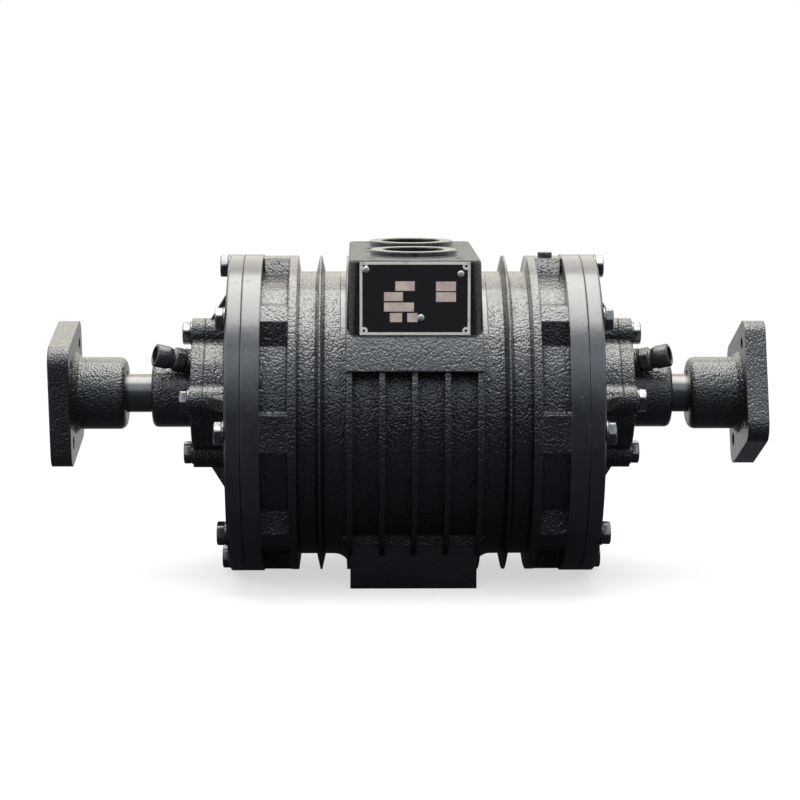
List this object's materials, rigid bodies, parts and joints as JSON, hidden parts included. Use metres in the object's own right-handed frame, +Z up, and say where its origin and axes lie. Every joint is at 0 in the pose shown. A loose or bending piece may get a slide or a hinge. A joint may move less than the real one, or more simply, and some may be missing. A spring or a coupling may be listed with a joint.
{
  "type": "rotary vane vacuum pump",
  "caption": "Rotary vane vacuum pump with a finned cast cylinder, bolted end covers, flanged couplings on both shaft ends and a port block on top.",
  "frame": {"origin": "centre of the foot block's underside, midway along the cylinder", "axes": "+X along the shaft towards the right-hand coupling, +Z up through the port block, -Y towards the nameplate"},
  "size_m": [0.6457, 0.291, 0.3023],
  "materials": {
    "black_casting": "satin black paint over rough sand-cast iron",
    "black_machined": "satin black paint over a turned surface",
    "bare_iron": "machined grey iron",
    "shaft_steel": "ground bright steel",
    "dark_bolt": "dark plated steel, worn bright on the upper edges",
    "bearing_steel": "ground and polished",
    "cage_brass": "machined brass",
    "gasket_fibre": "pressed fibre sheet",
    "seal_rubber": "moulded rubber",
    "vane_composite": "resin-bonded fibre laminate",
    "black_fitting": "satin black",
    "copper_washer": "soft copper, tarnished dark",
    "plate_metal": "etched and printed sheet, blank fields",
    "rivet_metal": "satin"
  },
  "bodies": {
    "housing": {"cylinder_housing": "black_casting", "nameplate": "plate_metal", "nameplate_rivets": "rivet_metal", "top_plug": "dark_bolt", "left_end_cover": "black_machined", "left_cover_gasket": "gasket_fibre", "left_bearing_cover": "black_casting", "left_cap_gasket": "gasket_fibre", "left_rim_bolts": "dark_bolt", "left_rim_washers": "dark_bolt", "left_cap_bolts": "dark_bolt", "left_cap_washers": "dark_bolt", "left_bearing_outer_race": "bearing_steel", "left_shaft_seal": "seal_rubber", "left_oil_nipple": "black_fitting", "left_nipple_washer": "copper_washer", "right_end_cover": "black_machined", "right_cover_gasket": "gasket_fibre", "right_bearing_cover": "black_casting", "right_cap_gasket": "gasket_fibre", "right_rim_bolts": "dark_bolt", "right_rim_washers": "dark_bolt", "right_cap_bolts": "dark_bolt", "right_cap_washers": "dark_bolt", "right_bearing_outer_race": "bearing_steel", "right_shaft_seal": "seal_rubber", "right_oil_nipple": "black_fitting", "right_nipple_washer": "copper_washer"},
    "rotor_shaft": {"shaft": "shaft_steel", "rotor": "bare_iron", "rotor_key": "shaft_steel", "left_bearing_inner_race": "bearing_steel", "left_coupling": "black_casting", "left_coupling_key": "shaft_steel", "left_end_washer": "dark_bolt", "left_end_bolt": "dark_bolt", "right_bearing_inner_race": "bearing_steel", "right_coupling": "black_casting", "right_coupling_key": "shaft_steel", "right_end_washer": "dark_bolt", "right_end_bolt": "dark_bolt"},
    "vane_1": {"vane_1": "vane_composite"},
    "vane_2": {"vane_2": "vane_composite"},
    "vane_3": {"vane_3": "vane_composite"},
    "vane_4": {"vane_4": "vane_composite"},
    "left_cage": {"left_bearing_cage": "cage_brass", "left_bearing_rollers": "bearing_steel"},
    "right_cage": {"right_bearing_cage": "cage_brass", "right_bearing_rollers": "bearing_steel"}
  },
  "joints": [
    {"name": "shaft_spin", "type": "hinge", "parent": "housing", "child": "rotor_shaft", "pos_m": [0, 0, 0.166], "axis": [1, 0, 0], "continuous": true},
    {"name": "vane_1_slide", "type": "slide", "parent": "rotor_shaft", "child": "vane_1", "axis": [0, -0.7071, 0.7071], "range_m": [0, 0.0061]},
    {"name": "vane_2_slide", "type": "slide", "parent": "rotor_shaft", "child": "vane_2", "axis": [0, -0.7071, -0.7071], "range_m": [0, 0.0061]},
    {"name": "vane_3_slide", "type": "slide", "parent": "rotor_shaft", "child": "vane_3", "axis": [0, 0.7071, -0.7071], "range_m": [0, 0.0061]},
    {"name": "vane_4_slide", "type": "slide", "parent": "rotor_shaft", "child": "vane_4", "axis": [0, 0.7071, 0.7071], "range_m": [0, 0.0061]},
    {"name": "left_cage_spin", "type": "hinge", "parent": "housing", "child": "left_cage", "pos_m": [0, 0, 0.166], "axis": [1, 0, 0], "continuous": true},
    {"name": "right_cage_spin", "type": "hinge", "parent": "housing", "child": "right_cage", "pos_m": [0, 0, 0.166], "axis": [1, 0, 0], "continuous": true}
  ],
  "couplings": [
    {"joint": "left_cage_spin", "follows": "shaft_spin", "ratio": 0.40833},
    {"joint": "right_cage_spin", "follows": "shaft_spin", "ratio": 0.40833}
  ]
}
